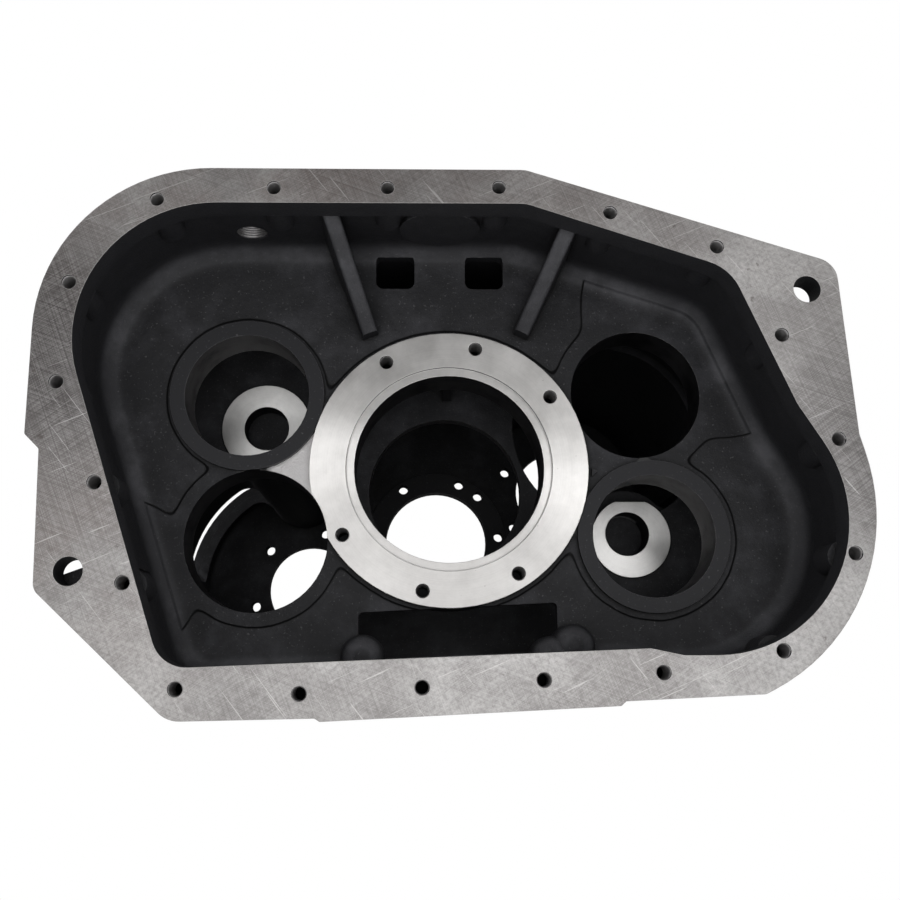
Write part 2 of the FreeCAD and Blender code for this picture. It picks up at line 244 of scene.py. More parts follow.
def from_axis(g, axis):
    """Radius from a vertical axis, and the direction away from it."""
    offset = g.add("VectorMath", g.place, (axis[0], axis[1], 0.0), operation="SUBTRACT")
    flat = g.add("VectorMath", offset, (1.0, 1.0, 0.0), operation="MULTIPLY")
    radius = g.add("VectorMath", flat, out="Value", operation="LENGTH")
    return radius, g.add("VectorMath", flat, operation="NORMALIZE")


def soft_edges(g, radius):
    """Normal rounded at the edges, and a mask that is 1 on them."""
    rounded = g.add("Bevel", {"Radius": radius}, samples=4)
    flat = g.add("NewGeometry", out="Normal")
    same = g.add("VectorMath", rounded, flat, out="Value", operation="DOT_PRODUCT")
    bend = g.add("Math", 1.0, same, operation="SUBTRACT")
    return rounded, g.add("MapRange", bend, 0.01, 0.12, interpolation_type="SMOOTHSTEP")


def pad_step(g):
    """Height of the pads round the bores, 0 to 1, and a mask of a painted shade line at their edge.

    The edge is where the smooth least of the distances to the pads' circles is nought.
    """
    blend = 0.016
    least = None
    for axis, radius in PAD_CIRCLES:
        gap = g.add("Math", from_axis(g, axis)[0], radius, operation="SUBTRACT")
        least = gap if least is None else g.add(
            "Math", least, gap, blend, operation="SMOOTH_MIN")
    # cast edges wander by up to 1.6 mm
    wander = g.add("Math", g.add("TexNoise", g.place, 0, 1 / 0.02, 2.0, 0.5), 0.0016,
                   operation="MULTIPLY")
    least = g.add("Math", least, wander, operation="ADD")
    z = g.add("SeparateXYZ", g.place, out=2)
    off_wall = g.add("Math", g.add("Math", z, MID_WALL_FACE, operation="SUBTRACT"),
                     operation="ABSOLUTE")
    level = g.add("MapRange", off_wall, 0.002, 0.004, 1.0, 0.0, interpolation_type="SMOOTHSTEP")
    height = g.add("MapRange", least, 0.0, 0.0018, 1.0, 0.0, interpolation_type="SMOOTHSTEP")
    # painted shade: a thin line along the foot of each pad's step
    off_edge = g.add("Math", g.add("Math", least, 0.0012, operation="SUBTRACT"),
                     operation="ABSOLUTE")
    shade_line = g.add("MapRange", off_edge, 0.0003, 0.0017, 1.0, 0.0,
                 interpolation_type="SMOOTHSTEP")
    return (g.add("Math", height, level, operation="MULTIPLY"),
            g.add("Math", shade_line, level, operation="MULTIPLY"))


def rubbed_patch(g):
    """Mask of the bright spot milled beside the main ring, between the two left bores."""
    offset = g.add("VectorMath", g.place, (-0.131, 0.008, 0.583), operation="SUBTRACT")
    turned = g.add("VectorRotate", {"Vector": offset, "Angle": math.radians(-62)},
                   rotation_type="Z_AXIS")
    scaled = g.add("VectorMath", turned, (1 / 0.058, 1 / 0.030, 55), operation="MULTIPLY")
    reach = g.add("VectorMath", scaled, out="Value", operation="LENGTH")
    rough = g.add("Math", g.add("TexNoise", g.place, 0, 1 / 0.012, 4.0, 0.5), 0.5,
                  operation="MULTIPLY")
    ragged = g.add("Math", reach, rough, operation="ADD")
    return g.add("MapRange", ragged, 1.0, 1.32, 1.0, 0.0, interpolation_type="SMOOTHSTEP")


# ---- materials ----------------------------------------------------------------------------------
def cast_skin(edge_radius):
    """Grey iron as cast in sand, under a thin black primer.

    Sand grain gives a dull rough skin, dust greys the flats, a painted highlight greys the
    fillets and slopes, painted shade blackens the corners and the pads' edges, and the iron
    shows on worn edges.
    """
    g = Surface("black_primed_cast_iron")
    normal, edge = soft_edges(g, edge_radius)
    # sand of 1.6 mm, coarser than the real 0.3 mm so that it shows, on 14 mm waves
    grain = g.add("TexNoise", g.place, 0, 1 / 0.0016, 4.0, 0.65)
    waves = g.add("TexNoise", g.place, 0, 1 / 0.014, 3.0, 0.5)
    cloud = g.add("TexNoise", g.place, 0, 1 / 0.05, 5.0, 0.65)
    dust = g.add("MapRange", cloud, 0.42, 0.75, interpolation_type="SMOOTHSTEP")
    grit = g.add("TexNoise", g.place, 0, 1 / 0.0022, 2.0, 0.6)
    speck = g.add("MapRange", grit, 0.62, 0.78, interpolation_type="SMOOTHSTEP")
    facing = g.add("SeparateXYZ", g.add("NewGeometry", out="Normal"), out=2)
    upward = g.add("MapRange", facing, 0.3, 0.95, interpolation_type="SMOOTHSTEP")

    primer = g.add("Mix", {0: waves, 6: linear("#19191c"), 7: linear("#262629")}, out=2,
                   data_type="RGBA")
    amount = g.add("Math", dust, upward, operation="MULTIPLY")
    dusty = g.add("Mix", {0: amount, 6: primer, 7: linear("#3b3b3f")}, out=2, data_type="RGBA")
    amount = g.add("Math", speck, g.add("Math", upward, 0.45, operation="MULTIPLY"),
                   operation="MULTIPLY")
    spotted = g.add("Mix", {0: amount, 6: dusty, 7: linear("#747375")}, out=2,
                    data_type="RGBA")
    patchy = g.add("MapRange", g.add("TexNoise", g.place, 0, 1 / 0.006, 3.0, 0.5), 0.5, 0.72,
                   interpolation_type="SMOOTHSTEP")
    worn = g.add("Math", g.add("Math", edge, patchy, operation="MULTIPLY"), 0.6,
                 operation="MULTIPLY")
    edged = g.add("Mix", {0: worn, 6: spotted, 7: linear("#7c7a79")}, out=2, data_type="RGBA")
    # painted highlight: fillets and slopes lighter, patchy with the dust
    slope_highlight = g.add("Math",
                   g.add("MapRange", facing, 0.3, 0.7, interpolation_type="SMOOTHSTEP"),
                   g.add("MapRange", facing, 0.88, 0.985, 1.0, 0.0,
                         interpolation_type="SMOOTHSTEP"), operation="MULTIPLY")
    amount = g.add("Math", slope_highlight, g.add("MapRange", dust, 0, 1, 0.25, 0.6),
                   operation="MULTIPLY")
    fillets_dusted_and_lit = g.add("Mix", {0: amount, 6: edged, 7: linear("#5e5e62")}, out=2,
                     data_type="RGBA")
    # painted shade: ambient occlusion blackens the corners and crevices
    opening = g.add("AmbientOcclusion", {"Distance": 0.007}, out="AO", samples=4,
                    only_local=True)
    clear = g.add("MapRange", opening, 0.45, 0.92, interpolation_type="SMOOTHSTEP")
    corner_shaded = g.add("Mix", {0: clear, 6: linear("#040405"), 7: fillets_dusted_and_lit}, out=2, data_type="RGBA")
    pads, pad_edge_shade = pad_step(g)
    # painted shade: near-black line round the pads
    amount = g.add("Math", pad_edge_shade, 0.85, operation="MULTIPLY")
    pad_shaded = g.add("Mix", {0: amount, 6: corner_shaded, 7: linear("#060607")}, out=2, data_type="RGBA")
    rubbed = rubbed_patch(g)
    colour = g.add("Mix", {0: rubbed, 6: pad_shaded, 7: linear("#c4c2c2")}, out=2, data_type="RGBA")

    rough = g.add("MapRange", grain, 0, 1, 0.5, 0.72)
    polish = g.add("Math", rubbed, 0.2, operation="MULTIPLY")
    stepped = g.add("Bump", {"Strength": 1.0, "Distance": 0.0025, "Height": pads,
                             "Normal": normal})
    wavy = g.add("Bump", {"Strength": 0.7, "Distance": 0.0012, "Height": waves,
                          "Normal": stepped})
    grainy = g.add("Bump", {"Strength": 1.0, "Distance": 0.0005, "Height": grain,
                            "Normal": wavy})
    shader = g.add("BsdfPrincipled", {
        "Base Color": colour,
        "Metallic": g.add("Math", rubbed, 0.85, operation="MULTIPLY"),
        "Roughness": g.add("Math", rough, polish, operation="SUBTRACT"),
        "Specular IOR Level": 0.35,
        "Normal": grainy})
    g.add("OutputMaterial", shader)
    return g.material


def ground_flange(edge_radius):
    """Face-ground grey iron.

    Grinding leaves crossing scratches of bright bare metal. Brown stain blots and a painted
    shade darken the upper left, and a film of oil darkens three spots.
    """
    g = Surface("ground_iron_flange")
    normal, edge = soft_edges(g, edge_radius)
    scratches = None
    # scratches 0.6 to 0.8 mm wide, coarser than the real ones so that they show
    for turn, across, along in ((0.35, 0.0006, 0.11), (2.5, 0.0008, 0.07), (1.2, 0.0006, 0.09)):
        marks = g.add("TexNoise", stretched(g, turn, across, along), 0, 1.0, 3.0)
        scratches = marks if scratches is None else g.add(
            "Math", scratches, marks, operation="MULTIPLY")
    scratches = g.add("MapRange", scratches, 0.05, 0.22, interpolation_type="SMOOTHSTEP")
    cloud = g.add("TexNoise", g.place, 0, 1 / 0.09, 5.0, 0.6)
    fine = g.add("TexNoise", g.place, 0, 1 / 0.003, 4.0, 0.7)

    metal = g.add("Mix", {
        0: g.add("MapRange", cloud, 0.35, 0.65, interpolation_type="SMOOTHSTEP"),
        6: linear("#918e8d"), 7: linear("#bfbdbc")}, out=2, data_type="RGBA")
    x = g.add("SeparateXYZ", g.place, out=0)
    y = g.add("SeparateXYZ", g.place, out=1)
    # painted shade towards the upper left, broken into brown stain blots
    slant = g.add("Math", g.add("Math", y, 1.25, operation="MULTIPLY"), x,
                  operation="SUBTRACT")
    upper_left = g.add("MapRange", slant, -0.25, 0.42, interpolation_type="SMOOTHSTEP")
    blots = g.add("MapRange", g.add("TexNoise", g.place, 0, 1 / 0.07, 6.0, 0.65), 0.3, 0.62,
                  interpolation_type="SMOOTHSTEP")
    stain_and_shade = g.add("Math", g.add("Math", upper_left, blots, operation="MULTIPLY"), 0.55,
                  operation="MULTIPLY")
    stained_and_shaded = g.add("Mix", {0: stain_and_shade, 6: metal, 7: linear("#7b6d68")}, out=2,
                    data_type="RGBA")
    for spot, reach, strength in (((-0.33, 0.07, 0.7), 0.17, 0.95),
                                  ((0.36, 0.0, 0.7), 0.14, 0.85),
                                  ((-0.16, -0.20, 0.7), 0.08, 0.3)):
        offset = g.add("VectorMath", g.place, spot, operation="SUBTRACT")
        ragged = g.add("Math", g.add("TexNoise", g.place, 0, 1 / 0.05, 4.0, 0.5), 0.07,
                       operation="MULTIPLY")
        away = g.add("Math", g.add("VectorMath", offset, out="Value", operation="LENGTH"),
                     ragged, operation="ADD")
        film = g.add("MapRange", away, 0.3 * reach, 1.35 * reach, 1.0, 0.0,
                     interpolation_type="SMOOTHSTEP")
        amount = g.add("Math", film, strength, operation="MULTIPLY")
        stained_and_shaded = g.add("Mix", {0: amount, 6: stained_and_shaded, 7: linear("#4c4848")}, out=2,
                        data_type="RGBA")
    # mottle of the graphite flakes, 3.5 mm across and so coarser than real, to show
    flakes = g.add("MapRange", g.add("TexNoise", g.place, 0, 1 / 0.0035, 4.0, 0.7), 0.35, 0.65,
                   interpolation_type="SMOOTHSTEP")
    amount = g.add("Math", flakes, 0.45, operation="MULTIPLY")
    mottled = g.add("Mix", {0: amount, 6: stained_and_shaded, 7: linear("#6f6c6a")}, out=2,
                    data_type="RGBA")
    amount = g.add("Math", scratches, 0.28, operation="MULTIPLY")
    streaked = g.add("Mix", {0: amount, 6: mottled, 7: linear("#e0dedd")}, out=2,
                     data_type="RGBA")
    # single deep scratches about 5 cm long, from handling
    for turn in (0.9, 2.75):
        mark = g.add("TexNoise", stretched(g, turn, 0.0011, 0.05), 0, 1.0, 0.0, 0.5)
        deep = g.add("MapRange", mark, 0.78, 0.84, interpolation_type="SMOOTHSTEP")
        amount = g.add("Math", deep, 0.4, operation="MULTIPLY")
        streaked = g.add("Mix", {0: amount, 6: streaked, 7: linear("#efedec")}, out=2,
                         data_type="RGBA")
    rust = g.add("MapRange", g.add("TexNoise", g.place, 0, 1 / 0.009, 3.0, 0.6), 0.68, 0.76,
                 interpolation_type="SMOOTHSTEP")
    amount = g.add("Math", rust, 0.55, operation="MULTIPLY")
    spotted = g.add("Mix", {0: amount, 6: streaked, 7: linear("#5b5350")}, out=2,
                    data_type="RGBA")
    amount = g.add("Math", edge, 0.6, operation="MULTIPLY")
    colour = g.add("Mix", {0: amount, 6: spotted, 7: linear("#dcdad8")}, out=2,
                   data_type="RGBA")

    uneven = g.add("Math", g.add("Math", fine, 0.5, operation="MULTIPLY"),
                   g.add("Math", cloud, 0.5, operation="MULTIPLY"), operation="ADD")
    grooved = g.add("Bump", {"Strength": 0.7, "Distance": 0.00006, "Height": scratches,
                             "Normal": normal})
    shader = g.add("BsdfPrincipled", {
        "Base Color": colour,
        "Metallic": 0.9,
        "Roughness": g.add("MapRange", uneven, 0, 1, 0.36, 0.6),
        "Normal": g.add("Bump", {"Strength": 0.5, "Distance": 0.00008, "Height": fine,
                                 "Normal": grooved})})
    g.add("OutputMaterial", shader)
    return g.material


def turned_face(name, axis, edge_radius, light, dark, rough, swirl):
    """Turned grey iron: rings round an axis smear each highlight across them, into a fan."""
    g = Surface(name)
    normal, edge = soft_edges(g, edge_radius)
    radius, across = from_axis(g, axis)
    # tool marks about 0.7 mm apart, and 6 mm bands where the tool rubbed
    place = g.add("CombineXYZ", g.add("Math", radius, 1400.0, operation="MULTIPLY"), 0.0, 0.0)
    rings = g.add("TexNoise", place, 0, 1, 4.0, 0.7)
    place = g.add("CombineXYZ", g.add("Math", radius, 160.0, operation="MULTIPLY"), 0.0, 0.0)
    bands = g.add("TexNoise", place, 0, 1, 2.0, 0.6)
    cloud = g.add("TexNoise", g.place, 0, 1 / 0.03, 5.0, 0.65)
    tone = g.add("Math", g.add("Math", rings, 0.35, operation="MULTIPLY"),
                 g.add("Math", bands, 0.1, operation="MULTIPLY"), operation="ADD")
    tone = g.add("Math", tone, g.add("Math", cloud, 0.55, operation="MULTIPLY"),
                 operation="ADD")
    metal = g.add("Mix", {
        0: g.add("MapRange", tone, 0.3, 0.7, interpolation_type="SMOOTHSTEP"),
        6: linear(dark), 7: linear(light)}, out=2, data_type="RGBA")
    pits = g.add("MapRange", g.add("TexNoise", g.place, 0, 1 / 0.004, 3.0, 0.6), 0.7, 0.78,
                 interpolation_type="SMOOTHSTEP")
    amount = g.add("Math", pits, 0.5, operation="MULTIPLY")
    pitted = g.add("Mix", {0: amount, 6: metal, 7: linear("#6b6664")}, out=2,
                   data_type="RGBA")
    amount = g.add("Math", edge, 0.5, operation="MULTIPLY")
    colour = g.add("Mix", {0: amount, 6: pitted, 7: linear("#efeeec")}, out=2,
                   data_type="RGBA")
    shader = g.add("BsdfPrincipled", {
        "Base Color": colour,
        "Metallic": 1.0,
        "Roughness": g.add("MapRange", cloud, 0, 1, rough, rough + 0.12),
        "Anisotropic": swirl,
        "Tangent": across,
        "Normal": g.add("Bump", {"Strength": 0.6, "Distance": 0.00003, "Height": rings,
                                 "Normal": normal})})
    g.add("OutputMaterial", shader)
    return g.material


def shaded_bored_wall(edge_radius):
    """Bored grey iron: painted dark as shade on these upright walls, stained darker in patches,
    ringed with tool marks, bright at its edges.
    """
    g = Surface("bored_iron_wall_painted_shade")
    normal, edge = soft_edges(g, edge_radius)
    # feed marks about 1 mm apart
    z = g.add("SeparateXYZ", g.place, out=2)
    place = g.add("CombineXYZ", 0.0, 0.0, g.add("Math", z, 900.0, operation="MULTIPLY"))
    lines = g.add("TexNoise", place, 0, 1, 3.0, 0.6)
    cloud = g.add("TexNoise", g.place, 0, 1 / 0.03, 4.0, 0.6)
    # painted shade: dark greys for machined iron on these upright walls
    metal = g.add("Mix", {
        0: g.add("MapRange", lines, 0.35, 0.65, interpolation_type="SMOOTHSTEP"),
        6: linear("#39383b"), 7: linear("#514f52")}, out=2, data_type="RGBA")
    stained_and_shaded = g.add("Mix", {
        0: g.add("MapRange", cloud, 0.45, 0.7, interpolation_type="SMOOTHSTEP"),
        6: metal, 7: linear("#222224")}, out=2, data_type="RGBA")
    amount = g.add("Math", edge, 0.6, operation="MULTIPLY")
    shader = g.add("BsdfPrincipled", {
        "Base Color": g.add("Mix", {0: amount, 6: stained_and_shaded, 7: linear("#c9c7c6")}, out=2,
                            data_type="RGBA"),
        "Metallic": 0.9,
        "Roughness": g.add("MapRange", cloud, 0, 1, 0.36, 0.5),
        "Normal": g.add("Bump", {"Strength": 0.6, "Distance": 0.00005, "Height": lines,
                                 "Normal": normal})})
    g.add("OutputMaterial", shader)
    return g.material


def primed_ring(edge_radius):
    """Turned iron under black primer: smoother than the cast skin, with a little grit."""
    g = Surface("primed_turned_ring")
    normal, edge = soft_edges(g, edge_radius)
    cloud = g.add("TexNoise", g.place, 0, 1 / 0.02, 5.0, 0.6)
    grit = g.add("MapRange", g.add("TexNoise", g.place, 0, 1 / 0.0028, 2.0, 0.6), 0.63, 0.76,
                 interpolation_type="SMOOTHSTEP")
    primer = g.add("Mix", {0: cloud, 6: linear("#1b1b1e"), 7: linear("#27272b")}, out=2,
                   data_type="RGBA")
    amount = g.add("Math", grit, 0.5, operation="MULTIPLY")
    gritty = g.add("Mix", {0: amount, 6: primer, 7: linear("#626164")}, out=2,
                   data_type="RGBA")
    amount = g.add("Math", edge, 0.5, operation="MULTIPLY")
    shader = g.add("BsdfPrincipled", {
        "Base Color": g.add("Mix", {0: amount, 6: gritty, 7: linear("#77767a")}, out=2,
                            data_type="RGBA"),
        "Specular IOR Level": 0.35,
        "Roughness": g.add("MapRange", cloud, 0, 1, 0.5, 0.65),
        "Normal": g.add("Bump", {
            "Strength": 0.6, "Distance": 0.00012, "Normal": normal,
            "Height": g.add("TexNoise", g.place, 0, 1 / 0.0015, 3.0, 0.5)})})
    g.add("OutputMaterial", shader)
    return g.material


def shaded_groove():
    """Turned groove painted near black as painted shade, which shows as a thin black line."""
    g = Surface("groove_painted_shade")
    shader = g.add("BsdfPrincipled", {"Base Color": linear("#050506"), "Roughness": 0.45})
    g.add("OutputMaterial", shader)
    return g.material


def cut_thread():
    """Thread cut in grey iron: bright ridges with duller patches."""
    g = Surface("cut_thread_iron")
    cloud = g.add("TexNoise", g.place, 0, 1 / 0.004, 3.0, 0.5)
    shader = g.add("BsdfPrincipled", {
        "Base Color": g.add("Mix", {0: cloud, 6: linear("#8a8888"), 7: linear("#c0bebe")},
                            out=2, data_type="RGBA"),
        "Metallic": 0.9,
        "Roughness": g.add("MapRange", cloud, 0, 1, 0.3, 0.5)})
    g.add("OutputMaterial", shader)
    return g.material


def white_backdrop():
    """Matt paper backdrop: plain white to the camera, pale grey to the light it returns."""
    g = Surface("white_backdrop")
    paper = g.add("BsdfPrincipled", {"Base Color": linear("#d9d9d9"), "Roughness": 0.9})
    glow = g.add("Emission", {"Color": linear("#ffffff")})
    seen = g.add("LightPath", out="Is Camera Ray")
    g.add("OutputMaterial", g.add("MixShader", seen, paper, glow))
    return g.material


# ---- the casting --------------------------------------------------------------------------------
def face_kinds(mesh):
    """Material slot of each triangle, told from where it lies and which way it faces."""
    count = len(mesh.polygons)
    centre = np.empty(count * 3)
    normal = np.empty(count * 3)
    corners = np.empty(count * 3, int)
    points = np.empty(len(mesh.vertices) * 3)
    mesh.polygons.foreach_get("center", centre)
    mesh.polygons.foreach_get("normal", normal)
    mesh.polygons.foreach_get("vertices", corners)
    mesh.vertices.foreach_get("co", points)
    centre = centre.reshape(-1, 3)
    normal = normal.reshape(-1, 3)
    corners = points.reshape(-1, 3)[corners].reshape(-1, 3, 3)
    up = normal[:, 2] > 0.99
    down = normal[:, 2] < -0.99
    upright = np.abs(normal[:, 2]) < 0.05
    z = centre[:, 2]
    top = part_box("housing")[1].z

    def radius(axis):
        return np.hypot(centre[:, 0] - axis[0], centre[:, 1] - axis[1])

    def at(height):
        return np.abs(z - height) < 0.0003

    def wall_of(axis, size, low, high):
        # centres of a faceted wall's triangles lie a little inside its radius
        chord = 0.0016
        near = np.abs(radius(axis) - size) < chord
        return upright & near & (z > low) & (z < high)

    kinds = np.full(count, SKIN)
    kinds[up & at(top)] = FLANGE
    ring_faces = at(top - MAIN_RING_FACE) | at(top - BEARING_RING_FACE)
    kinds[up & ring_faces & (radius(MAIN) < MAIN_RING)] = MAIN_FACE
    kinds[up & at(REAR_RING_FACE)] = PRIMED
    kinds[up & at(top - LEFT_SPOT_FACE)] = LEFT_SEAT
    kinds[up & at(top - RIGHT_SPOT_FACE)] = RIGHT_SEAT
    kinds[up & at(top - BEARING_RING_FACE) & (radius(MAIN) > MAIN_RING)] = PRIMED
    # the narrow grooves round two rings, down to a little below the mid wall's face: painted shade
    slack, reach = 0.0006, 0.0042
    for axis, inner in ((UPPER_LEFT, LEFT_GROOVE), (LOWER_RIGHT, RIGHT_GROOVE)):
        out = np.hypot(corners[:, :, 0] - axis[0], corners[:, :, 1] - axis[1])
        band = (out.min(1) > inner - slack) & (out.max(1) < inner + reach)
        kinds[band & (z < top - GROOVE_TOP) & (z > top - GROOVE_FOOT)] = GROOVE
    kinds[down & at(0.0)] = FLANGE
    for axis, size in FRONT_BORES:
        kinds[wall_of(axis, size, top - FRONT_BORES_FOOT, top - FRONT_BORES_TOP)] = BORED
    for axis, size in REAR_BORES:
        kinds[wall_of(axis, size, -0.001, REAR_BORES_TOP)] = BORED
    kinds[wall_of(MAIN, SECOND_BORE, top - SECOND_BORE_FOOT, top - SECOND_BORE_TOP)] = BORED
    return kinds


class HOUSING_OT_casting(bpy.types.Operator):
    """Merged copy of the casting with one material for each kind of surface"""

    bl_idname = "housing.casting"
    bl_label = "Casting"

    def execute(self, context):
        settings = context.scene.housing_finish
        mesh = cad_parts["housing"].data.copy()
        mesh.name = "casting"
        merged = bmesh.new()
        merged.from_mesh(mesh)
        bmesh.ops.remove_doubles(merged, verts=merged.verts, dist=2e-6)
        for edge in merged.edges:
            edge.smooth = edge.calc_face_angle(math.pi) < settings.smooth_angle
        for face in merged.faces:
            face.smooth = True
        merged.to_mesh(mesh)
        merged.free()
        mesh.attributes.remove(mesh.attributes["custom_normal"])
        radius = settings.edge_radius
        mesh.materials.clear()
        for material in (
                cast_skin(radius),
                ground_flange(radius),
                turned_face("turned_main_ring", MAIN, radius, "#eae8e6", "#cac8c6", 0.27, 0.85),
                turned_face("turned_upper_left_seat", UPPER_LEFT, radius,
                            "#dedddb", "#bdbcbb", 0.32, 0.9),
                turned_face("turned_lower_right_seat", LOW_SPOT, radius,
                            "#dedddb", "#bdbcbb", 0.32, 0.9),
                primed_ring(radius),
                shaded_bored_wall(radius),
                shaded_groove()):
            mesh.materials.append(material)
        mesh.polygons.foreach_set("material_index", face_kinds(mesh))
        mesh.update()
        piece = bpy.data.objects.new("casting", mesh)
        context.scene.collection.objects.link(piece)
        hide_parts("housing")
        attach(piece, "root")
        return {"FINISHED"}


# ---- threads ------------------------------------------------------------------------------------
def flange_holes():
    """Centres of the joint face's screw holes."""
    millimetres = [
        (-246, 206), (-149.5, 217), (-54.5, 218), (39.5, 219), (133, 197), (222, 167),
        (272, 90), (313, 2), (319, -91), (256, -167), (161, -183), (68, -188), (-26, -193),
        (-120, -197), (-214, -193), (-258, -112), (-284, -33), (-319, 49), (-314, 133)]
    return [(x / 1000, y / 1000) for x, y in millimetres]


def ring_holes():
    """Centres of the main ring's screw holes."""
    angles = [math.radians(a) for a in (35.3, 77.5, 120.3, 212.5, 257.6, 302.4)]
    return [(RING_HOLE_CIRCLE * math.cos(a), RING_HOLE_CIRCLE * math.sin(a)) for a in angles]


def thread_surface(centre, across, along, start, radius, height, pitch, turns, segments):
    """Points and faces of one internal thread.

    With a the turned angle and t from 0 to 1 across one pitch p, the surface is
    r(t) = R - h k(t) at the distance start - p (a / 2 pi + t) along the axis. R is the hole's
    radius and k rises from 0 to 1 on one flank, stays on the crest and falls on the other.
    Its foot stands 0.03 mm into the wall, so that no gap shows.
    """
    foot = 0.00003
    steps = segments * turns
    angle = np.linspace(0.0, 2 * math.pi * turns, steps + 1)
    loops = []
    for t, rise in ((0.06, 0.0), (0.44, 1.0), (0.56, 1.0), (0.94, 0.0)):
        depth = start - pitch * (angle / (2 * math.pi) + t)
        r = radius + foot - rise * (height + foot)
        loops.append(np.outer(np.cos(angle) * r, across[0])
                     + np.outer(np.sin(angle) * r, across[1])
                     + np.outer(depth, along) + centre)
    points = np.stack(loops, axis=1).reshape(-1, 3)
    row = len(loops)
    faces = [(a, a + 1, a + row + 1, a + row)
             for i in range(steps) for a in range(i * row, i * row + row - 1)]
    return points, faces


class HOUSING_OT_threads(bpy.types.Operator):
    """Thread ridges in the screw holes of the flange and main ring and in the oil port"""

    bl_idname = "housing.threads"
    bl_label = "Threads"

    def execute(self, context):
        settings = context.scene.housing_thread
        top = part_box("housing")[1].z
        x_axis, y_axis, z_axis = np.eye(3)
        holes = [(x, y, top, settings.major) for x, y in flange_holes()]
        holes += [(x, y, top - MAIN_RING_FACE, RING_HOLE) for x, y in ring_holes()]
        threads = [
            thread_surface(np.array([x, y, 0.0]), (x_axis, y_axis), z_axis, z - settings.lead,
                           radius, settings.depth, settings.pitch, settings.turns,
                           settings.segments)
            for x, y, z, radius in holes]
        threads.append(
            thread_surface(np.array([PORT_X, 0.0, top - PORT_AXIS]), (x_axis, z_axis), -y_axis,
                           -settings.port_start, settings.port_radius, settings.port_depth,
                           settings.port_pitch, settings.port_turns, settings.segments))
        points, faces = [], []
        for rows, quads in threads:
            faces += [tuple(i + len(points) for i in quad) for quad in quads]
            points += rows.tolist()
        mesh = bpy.data.meshes.new("screw_threads")
        mesh.from_pydata(points, [], faces)
        mesh.polygons.foreach_set("use_smooth", np.ones(len(mesh.polygons), bool))
        mesh.materials.append(cut_thread())
        piece = bpy.data.objects.new("screw_threads", mesh)
        context.scene.collection.objects.link(piece)
        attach(piece, "root")
        return {"FINISHED"}


# ---- shaft seats of the second wall -------------------------------------------------------------
def loop(centre, radius, height, flat=None):
    """Points of a round loop, cut straight where it would pass flat in Y."""
    angle = np.linspace(0.0, 2 * math.pi, 96, endpoint=False)
    x = centre[0] + radius * np.cos(angle)
    y = centre[1] + radius * np.sin(angle)
    if flat is not None:
        y = np.minimum(y, centre[1] + flat)
    return np.stack([x, y, np.full_like(x, height)], axis=1)


def closed_form(loops, capped):
    """Points and faces of a form skinned between loops c + r (cos a, sin a) of equal count.

    A capped form ends in flat faces; the others join the last loop to the first.
    """
    count = len(loops[0])
    faces = []
    for k in range(len(loops) - 1 if capped else len(loops)):
        this = k * count
        following = (k + 1) % len(loops) * count
        for i in range(count):
            j = (i + 1) % count
            faces.append((this + i, this + j, following + j, following + i))
    if capped:
        last = (len(loops) - 1) * count
        faces += [tuple(range(count)), tuple(range(last, last + count))]
    return np.concatenate(loops).tolist(), faces


def solid_piece(name, points, faces, materials):
    """Linked object with outward normals that rides on the casting."""
    mesh = bpy.data.meshes.new(name)
    mesh.from_pydata(points, [], faces)
    shape = bmesh.new()
    shape.from_mesh(mesh)
    bmesh.ops.recalc_face_normals(shape, faces=shape.faces)
    shape.to_mesh(mesh)
    shape.free()
    for material in materials:
        mesh.materials.append(material)
    piece = bpy.data.objects.new(name, mesh)
    bpy.context.scene.collection.objects.link(piece)
    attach(piece, "root")
    return piece


class HOUSING_OT_seats(bpy.types.Operator):
    """Idler seat standing out into the right opening, and the blind ends of both hubs"""

    bl_idname = "housing.seats"
    bl_label = "Shaft seats"

    def execute(self, context):
        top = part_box("housing")[1].z
        radius = context.scene.housing_finish.edge_radius
        # the seat lies just over the solid's own cut seat
        cover = 0.0002
        face = top - RIGHT_SPOT_FACE + cover
        back = top - SECOND_WALL_BACK
        bright = turned_face("turned_idler_seat", LOW_SPOT, radius, "#dedddb", "#bdbcbb", 0.32,
                             0.9)
        points, faces = closed_form([
            loop(LOW_SPOT, LOW_SPOT_RADIUS, face, LOW_SPOT_FLAT),
            loop(LOW_SPOT, LOW_SPOT_RADIUS, back, LOW_SPOT_FLAT),
            loop(IDLER, IDLER_HOLE, back),
            loop(IDLER, IDLER_HOLE, face)], capped=False)
        seat = solid_piece("idler_seat", points, faces, [bright, cast_skin(radius)])
        for polygon in seat.data.polygons:
            polygon.material_index = 0 if polygon.normal.z > 0.9 else 1
        end = top - HUB_END
        for name, axis, size in (("blind_end_left", UPPER_LEFT, UPPER_LEFT_HOLE),
                                 ("blind_end_right", IDLER, IDLER_HOLE)):
            points, faces = closed_form([
                loop(axis, size, end), loop(axis, size, end - BLIND_END_THICKNESS)],
                capped=True)
            solid_piece(name, points, faces, [cast_skin(radius)])
        return {"FINISHED"}


# ---- stage --------------------------------------------------------------------------------------
def lamp(name, place, size, power):
    """Rectangular soft lamp that faces straight down."""
    data = bpy.data.lights.new(name, "AREA")
    data.shape = "RECTANGLE"
    data.size, data.size_y = size
    data.energy = power
    item = bpy.data.objects.new(name, data)
    item.location = place
    bpy.context.scene.collection.objects.link(item)


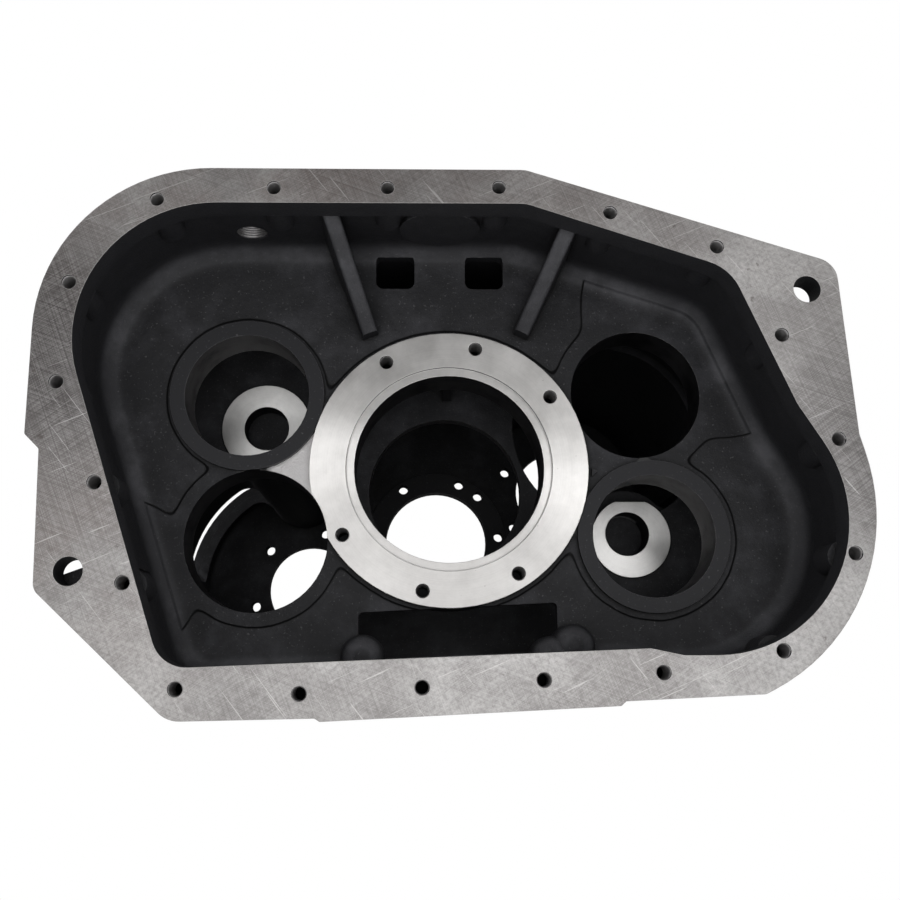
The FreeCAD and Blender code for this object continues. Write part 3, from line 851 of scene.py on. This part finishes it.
def white_floor():
    """Flat floor just under the housing."""
    h, z = FLOOR_HALF, -FLOOR_DROP
    mesh = bpy.data.meshes.new("floor")
    mesh.from_pydata([(-h, -h, z), (h, -h, z), (h, h, z), (-h, h, z)], [], [(0, 1, 2, 3)])
    mesh.materials.append(white_backdrop())
    floor = bpy.data.objects.new("floor", mesh)
    bpy.context.scene.collection.objects.link(floor)


def studio_world(fill, walls):
    """World that is white to the camera, and lights with bright walls and a dim ceiling."""
    world = bpy.data.worlds.new("studio")
    g = Graph(world)
    height = g.add("SeparateXYZ", g.add("TexCoord", out="Generated"), out=2)
    # the walls give way to the ceiling between 12 and 40 degrees up
    strength = g.add("MapRange", height, 0.2, 0.65, walls, fill)
    soft = g.add("Background", {"Strength": strength})
    white = g.add("Background", {"Color": linear("#ffffff")})
    seen = g.add("LightPath", out="Is Camera Ray")
    g.add("OutputWorld", g.add("MixShader", seen, soft, white))
    return world


def camera(lens):
    """Camera above the flange, looking down the bores."""
    data = bpy.data.cameras.new("camera")
    data.lens = lens
    data.sensor_width = SENSOR
    item = bpy.data.objects.new("camera", data)
    turn = Matrix((CAMERA_RIGHT, CAMERA_UP, -Vector(CAMERA_AHEAD))).transposed()
    item.matrix_world = Matrix.Translation(CAMERA_PLACE) @ turn.to_4x4()
    bpy.context.scene.collection.objects.link(item)
    return item


class HOUSING_OT_stage(bpy.types.Operator):
    """White floor, soft lamps and the camera above the flange"""

    bl_idname = "housing.stage"
    bl_label = "Stage"

    def execute(self, context):
        scene = context.scene
        settings = scene.housing_stage
        white_floor()
        scene.world = studio_world(settings.fill, settings.walls)
        scene.view_settings.view_transform = "Standard"
        lamp("key", KEY_PLACE, KEY_SIZE, settings.key_power)
        for place in WINDOW_PLACES:
            lamp("window", place, WINDOW_SIZE, settings.window_power)
        lamp("side", SIDE_PLACE, SIDE_SIZE, settings.side_power)
        scene.camera = camera(settings.lens)
        return {"FINISHED"}


# ---- add-on -------------------------------------------------------------------------------------
class HOUSING_PT_panel(bpy.types.Panel):
    """Sidebar panel with the housing's settings and steps"""

    bl_idname = "HOUSING_PT_panel"
    bl_label = "Gearbox housing"
    bl_space_type = "VIEW_3D"
    bl_region_type = "UI"
    bl_category = "Housing"

    def draw(self, context):
        scene = context.scene
        for settings in (scene.housing_finish, scene.housing_thread, scene.housing_stage):
            box = self.layout.box()
            for name in settings.__annotations__:
                box.prop(settings, name)
        for operator in OPERATORS:
            self.layout.operator(operator.bl_idname)


SETTINGS = (ThreadSettings, FinishSettings, StageSettings)
OPERATORS = (HOUSING_OT_casting, HOUSING_OT_threads, HOUSING_OT_seats, HOUSING_OT_stage)


def register():
    for item in SETTINGS + OPERATORS + (HOUSING_PT_panel,):
        bpy.utils.register_class(item)
    bpy.types.Scene.housing_thread = PointerProperty(type=ThreadSettings)
    bpy.types.Scene.housing_finish = PointerProperty(type=FinishSettings)
    bpy.types.Scene.housing_stage = PointerProperty(type=StageSettings)


def unregister():
    del bpy.types.Scene.housing_stage
    del bpy.types.Scene.housing_finish
    del bpy.types.Scene.housing_thread
    for item in reversed(SETTINGS + OPERATORS + (HOUSING_PT_panel,)):
        bpy.utils.unregister_class(item)


def main():
    """Builds the looks."""
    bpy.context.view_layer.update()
    register()
    bpy.ops.housing.casting()
    bpy.ops.housing.threads()
    bpy.ops.housing.seats()
    bpy.ops.housing.stage()


if __name__ == "__main__":
    main()
